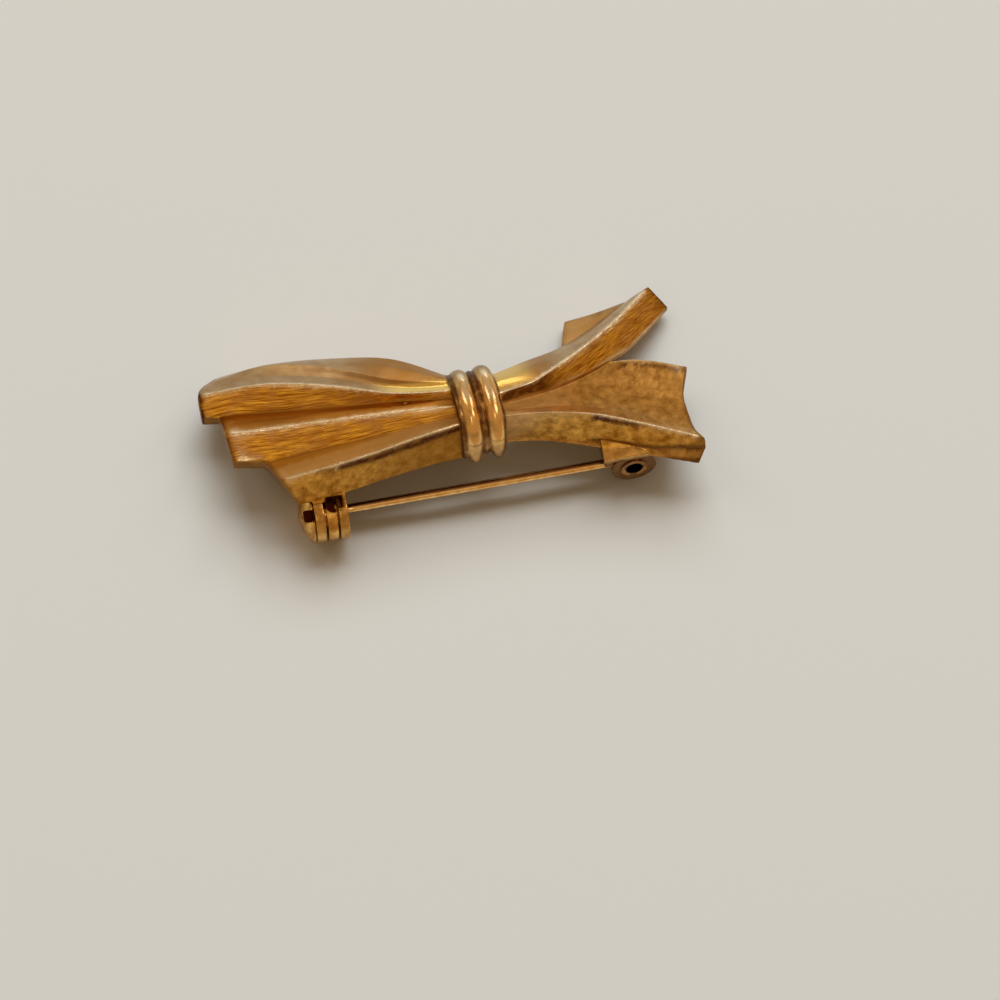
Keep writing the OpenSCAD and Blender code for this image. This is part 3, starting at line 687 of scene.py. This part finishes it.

# %% [markdown]
# The casting's metal is a base alloy under a thin gold plate. Plain gold is only the start: satin faces
# carry a pale rubbed film, brushed faces are a deep amber of painted shade with fine bright and dark strokes,
# cast faces are blotched, and painted shade turns the gold to brown. First come the shares that the skin
# holds and the patterns. Real brushing is some 0.03 mm fine, below one pixel, so it is drawn coarser.

# %% Patterns of the gilded casting
# In mm: how wide, long and deep a stroke is, and how large a streak, a blotch, a cloud and a fine grain
STROKE_GAP, STROKE_LENGTH, STROKE_REACH = 0.1, 2.4, 2.5
STREAK = 0.5
STREAK_SCALE = (1 / STREAK, 0.12, 0.2)
BLOTCH, CLOUD, FINE = 0.8, 1.6, 0.14
SHARES = ("satin", "brushed_and_shaded", "mottled", "polished", "finding", "wear_and_highlight", "hollow", "painted_shade",
          "wall", "shade", "darker_gold", "near_knot", "trough", "pale")

gilt = new_material("gilded_cast_alloy")
share = {name: add_node(gilt, "Attribute", {"attribute_name": name}, {}, "Fac") for name in SHARES}
grain = add_node(gilt, "Attribute", {"attribute_name": "grain"}, {}, "Vector")
places = add_node(gilt, "TexCoord", {}, {}, "Object")
stroke_scale = (1 / STROKE_GAP, 1 / STROKE_LENGTH, 1 / STROKE_REACH)
stroke_places = add_node(gilt, "Mapping", {}, {0: grain, "Scale": stroke_scale})
strokes = add_node(gilt, "TexNoise", {}, {0: stroke_places, "Scale": 1, "Detail": 2.5, "Roughness": 0.6})
streak_places = add_node(gilt, "Mapping", {}, {0: grain, "Scale": STREAK_SCALE})
streaks = add_node(gilt, "TexNoise", {}, {0: streak_places, "Scale": 1, "Detail": 2})
blotches = add_node(gilt, "TexNoise", {}, {0: places, "Scale": 1 / (BLOTCH * MM), "Detail": 4,
                                           "Roughness": 0.65})
clouds = add_node(gilt, "TexNoise", {}, {0: places, "Scale": 1 / (CLOUD * MM), "Detail": 3})
fine = add_node(gilt, "TexNoise", {}, {0: places, "Scale": 1 / (FINE * MM), "Detail": 1})
print("patterns:", len(gilt.node_tree.nodes), "nodes")

# %% [markdown]
# Noise hovers about one half, so each pattern is stretched between two of its values before it mixes two
# golds. Each finish is a mix of a deeper and a paler gold. A Mix node keeps its colours at inputs 6 and 7
# and gives its colour at output 2, and it keeps its plain values at inputs 2 and 3.

# %% Colours of the gilded casting
RGBA = {"data_type": "RGBA"}
LOW, HIGH, FIRST, SECOND, MIXED = 2, 3, 6, 7, 2

stroke_step = add_node(gilt, "MapRange", {}, {0: strokes, "From Min": 0.38, "From Max": 0.62})
streak_step = add_node(gilt, "MapRange", {}, {0: streaks, "From Min": 0.35, "From Max": 0.65})
blotch_step = add_node(gilt, "MapRange", {}, {0: blotches, "From Min": 0.34, "From Max": 0.66})
cloud_step = add_node(gilt, "MapRange", {}, {0: clouds, "From Min": 0.4, "From Max": 0.62})
bare_step = add_node(gilt, "MapRange", {}, {0: clouds, "From Min": 0.5, "From Max": 0.62})
satin = add_node(gilt, "Mix", RGBA, {0: cloud_step, FIRST: "#bfa37a", SECOND: "#ad8a5e"}, MIXED)
plain = add_node(gilt, "Mix", RGBA, {0: streak_step, FIRST: "#cc943e", SECOND: "#b48034"}, MIXED)
# The deep amber of the brushed faces is painted shade under the strokes
amber = add_node(gilt, "Mix", RGBA, {0: stroke_step, FIRST: "#a2661a", SECOND: "#e8ae3e"}, MIXED)
tan = add_node(gilt, "Mix", RGBA, {0: stroke_step, FIRST: "#ac7430", SECOND: "#cc9646"}, MIXED)
brushed_and_shaded = add_node(gilt, "Mix", RGBA, {0: cloud_step, FIRST: amber, SECOND: tan}, MIXED)
mottled = add_node(gilt, "Mix", RGBA, {0: blotch_step, FIRST: "#a87c3c", SECOND: "#deae64"}, MIXED)
# Deeper painted shade on the walls
wall = add_node(gilt, "Mix", RGBA, {0: blotch_step, FIRST: "#a26c1e", SECOND: "#ecb656"}, MIXED)
polished = add_node(gilt, "Mix", RGBA, {0: bare_step, FIRST: "#f4c47c", SECOND: "#cca970"}, MIXED)
finding = add_node(gilt, "Mix", RGBA, {0: blotch_step, FIRST: "#a97a3c", SECOND: "#deb066"}, MIXED)
print("patterns and colours:", len(gilt.node_tree.nodes), "nodes")

# %% [markdown]
# The finishes lie over one another from the metal outwards: plain gold, the finish of each face, painted
# shade with dirt in the hollows, and at last rubbing with painted highlight. The blotches break up painted
# shade and rubbing, so both are ragged, and rubbing spares the findings.

# %% Finishes over one another
PRODUCT = {"operation": "MULTIPLY"}
LESS = {"operation": "SUBTRACT", "use_clamp": True}
PLAIN_ROUGHNESS = 0.32

ragged = add_node(gilt, "MapRange", {}, {0: blotches, "From Min": 0.25, "From Max": 0.5, "To Min": 0.35})
near_amount = add_node(gilt, "Math", PRODUCT, {0: share["near_knot"], 1: 0.7})
knot_far_shade_amount = add_node(gilt, "Math", PRODUCT, {0: share["darker_gold"], 1: 0.7})
shade_amount = add_node(gilt, "Math", PRODUCT, {0: share["shade"], 1: 0.65})
hollow_amount = add_node(gilt, "Math", PRODUCT, {0: share["hollow"], 1: 0.5})
painted_shade_amount = add_node(gilt, "Math", PRODUCT, {0: share["painted_shade"], 1: ragged})
wear_and_highlight_metal = add_node(gilt, "Math", LESS, {0: share["wear_and_highlight"], 1: share["finding"]})
wear_and_highlight_amount = add_node(gilt, "Math", PRODUCT, {0: wear_and_highlight_metal, 1: ragged})
colour, roughness = plain, PLAIN_ROUGHNESS
# How much, colour, and roughness, which stays as it is below where there is none
for amount, tint, rough in (
    (share["satin"], satin, 0.27),
    (near_amount, "#b07a30", 0.24),
    # Brushed strokes with painted shade
    (share["brushed_and_shaded"], brushed_and_shaded, 0.3),
    (share["mottled"], mottled, 0.4),
    # Painted shade on the walls
    (share["wall"], wall, 0.4),
    # Painted sheen
    (share["pale"], "#ecc890", None),
    # Painted highlight
    (share["trough"], "#ffde84", 0.14),
    (share["polished"], polished, 0.23),
    # Painted shade on the knot's far side
    (knot_far_shade_amount, "#7c6230", None),
    (share["finding"], finding, 0.26),
    (shade_amount, "#8c5a14", None),
    (hollow_amount, "#5e3410", None),
    # Painted shade
    (painted_shade_amount, "#4e2206", 0.36),
    # Wear, and painted highlight on the ridges and crowns
    (wear_and_highlight_amount, "#fff0d4", 0.22),
):
    colour = add_node(gilt, "Mix", RGBA, {0: amount, FIRST: colour, SECOND: tint}, MIXED)
    if rough:
        roughness = add_node(gilt, "Mix", {}, {0: amount, LOW: roughness, HIGH: rough})
print("with the finishes:", len(gilt.node_tree.nodes), "nodes")

# %% [markdown]
# Some relief is too fine for the mesh: the strokes, the mottle and a slight unevenness. Three Bump nodes
# in a row add them, each to the normals of the one before.

# %% Relief and shader of the gilded casting
stroke_height = add_node(gilt, "Math", PRODUCT, {0: strokes, 1: share["brushed_and_shaded"]})
mottle_height = add_node(gilt, "Math", PRODUCT, {0: blotches, 1: share["mottled"]})
# Height, strength and depth in mm
RELIEFS = ((stroke_height, 0.8, 0.07), (mottle_height, 0.7, 0.07), (fine, 0.25, 0.012))

gilt_relief = None
for height, strength, depth in RELIEFS:
    below = {"Normal": gilt_relief} if gilt_relief else {}
    gilt_relief = add_node(gilt, "Bump", {}, {"Height": height, "Strength": strength,
                                              "Distance": depth * MM, **below})
gilt_shader = add_node(gilt, "BsdfPrincipled", {}, {"Metallic": 1.0, "Base Color": colour,
                                                    "Roughness": roughness, "Normal": gilt_relief})
add_node(gilt, "OutputMaterial", {}, {"Surface": gilt_shader})
show(cast_bow, gilt)
print("gilded casting:", len(gilt.node_tree.nodes), "nodes")

# %% [markdown]
# The pin is hard drawn wire, gilded and then rubbed bright by use, with fine lines along it. The rivet and
# the catch's rotor are turned parts with a lightly worn plate. Their CAD shapes are right, so they keep
# their meshes and only take a finish. All three finishes are built alike, so one function makes them.

# %% Gilded finding
# In mm: the gap and the length of the fine lines, their depth, and how large a worn patch is
FINE_LINE = 1 / (0.12 * MM)
LONG_LINE = 1 / (4.0 * MM)
LINE_DEPTH = 0.008 * MM
PATCH = 1 / (0.7 * MM)


def gilded_finding(name, bright, darker_gold, line_scale, roughness_low, roughness_high, painted_shade, painted_shade_where):
    """Gilded metal with fine lines along or round the piece, patchy wear, and painted shade where a function
    of the material says so."""
    metal = new_material(name)
    places = add_node(metal, "TexCoord", {}, {}, "Object")
    line_places = add_node(metal, "Mapping", {}, {0: places, "Scale": line_scale})
    lines = add_node(metal, "TexNoise", {}, {0: line_places, "Scale": 1, "Detail": 1.5})
    patches = add_node(metal, "TexNoise", {}, {0: places, "Scale": PATCH, "Detail": 3})
    patch_step = add_node(metal, "MapRange", {}, {0: patches, "From Min": 0.4, "From Max": 0.64})
    line_step = add_node(metal, "MapRange", {}, {0: lines, "From Min": 0.45, "From Max": 0.7, "To Max": 0.5})
    patchy = add_node(metal, "Mix", RGBA, {0: patch_step, FIRST: bright, SECOND: darker_gold}, MIXED)
    lined = add_node(metal, "Mix", RGBA, {0: line_step, FIRST: patchy, SECOND: darker_gold}, MIXED)
    dark_places = painted_shade_where(metal, places)
    tint = add_node(metal, "Mix", RGBA, {0: dark_places, FIRST: lined, SECOND: painted_shade}, MIXED)
    rough = add_node(metal, "Mix", {}, {0: patch_step, LOW: roughness_low, HIGH: roughness_high})
    relief = add_node(metal, "Bump", {}, {"Height": lines, "Strength": 0.35, "Distance": LINE_DEPTH})
    shader = add_node(metal, "BsdfPrincipled", {}, {"Metallic": 1.0, "Base Color": tint,
                                                    "Roughness": rough, "Normal": relief})
    add_node(metal, "OutputMaterial", {}, {"Surface": shader})
    print(name, "has", len(metal.node_tree.nodes), "nodes")
    return metal


# %% [markdown]
# Painted shade darkens the bore of the rivet, the thumb notch and the slot of the rotor, and the wire's far
# side is painted dark as a reflection of the casting above it. The CAD meshes are left as they are, so nodes
# find these places: by the distance from the hinge's axis, by the distance from a notch, and by the way the
# wire's surface faces.

# %% Where painted shade sits on the findings
BORE_RADIUS = 0.8
SOFT_EDGE = 0.08
THUMB_NOTCH_TURN = math.radians(33)
# In mm: along the catch's axis, turn about it, out from it, and how far the dark reaches
NOTCHES = ((-13.85, TOP_NOTCH_TURN, 2.2, 0.85), (-16.05, THUMB_NOTCH_TURN, 1.1, 0.55))
FAR_SIDE = {"From Min": -0.6, "From Max": -0.3, "To Max": 0.85}

notches = [(from_flat((place, PIN_Y - out * math.sin(turn), PIN_Z + out * math.cos(turn))), reach)
           for place, turn, out, reach in NOTCHES]


def in_bore(metal, places):
    """1 inside the rivet's bore, by the distance from the hinge's axis."""
    hinge = joints["pin_hinge"]
    arm = add_node(metal, "VectorMath", {"operation": "SUBTRACT"}, {0: places, 1: hinge["pos_m"]})
    swing = add_node(metal, "VectorMath", {"operation": "CROSS_PRODUCT"}, {0: arm, 1: hinge["axis"]})
    radius = add_node(metal, "VectorMath", {"operation": "LENGTH"}, {0: swing}, "Value")
    return add_node(metal, "MapRange", {}, {0: radius, "From Min": (BORE_RADIUS + SOFT_EDGE / 2) * MM,
                                            "From Max": (BORE_RADIUS - SOFT_EDGE / 2) * MM})


def in_notches(metal, places):
    """1 in the barrel's slot at the top and in the knob's thumb notch."""
    both = None
    for notch, reach in notches:
        away = add_node(metal, "VectorMath", {"operation": "DISTANCE"}, {0: places, 1: notch}, "Value")
        inside = add_node(metal, "MapRange", {}, {0: away, "From Min": (reach + SOFT_EDGE) * MM,
                                                  "From Max": reach * MM})
        both = add_node(metal, "Math", {"operation": "MAXIMUM"}, {0: inside, 1: both or 0.0})
    return both


def on_far_side(metal, places):
    """Nearly 1 on the wire's far side, where a dark reflection is painted."""
    way = add_node(metal, "TexCoord", {}, {}, "Normal")
    side = add_node(metal, "VectorMath", {"operation": "DOT_PRODUCT"}, {0: way, 1: flat_y}, "Value")
    return add_node(metal, "MapRange", {}, {0: side, **FAR_SIDE})


print("notches at, mm:", [(notch / MM).round(2).tolist() for notch, reach in notches])

# %% [markdown]
# The wire is the brightest of the three, because it slides through cloth. The rivet is the darkest.

# %% Drawn wire and turned findings
ALONG = (LONG_LINE, FINE_LINE, FINE_LINE)
ROUND = (FINE_LINE, LONG_LINE, LONG_LINE)
EVEN = (LONG_LINE, LONG_LINE, LONG_LINE)

# The last colour of each finding is its painted shade
finishes = {
    "pin_stem": gilded_finding("gilded_drawn_wire", "#ffdca0", "#e6b46c", ALONG,
                               0.16, 0.26, "#5c2a0c", on_far_side),
    "catch_rotor": gilded_finding("gilded_turned_brass", "#efbf68", "#be863e", ROUND,
                                  0.2, 0.32, "#3c1606", in_notches),
    "joint_rivet": gilded_finding("gilded_rivet_brass", "#b98648", "#6b4318", EVEN,
                                  0.22, 0.36, "#1c0c06", in_bore),
}
for node_name, metal in finishes.items():
    show(frame["nodes"][node_name], metal)
print("finishes on", len(finishes), "findings")
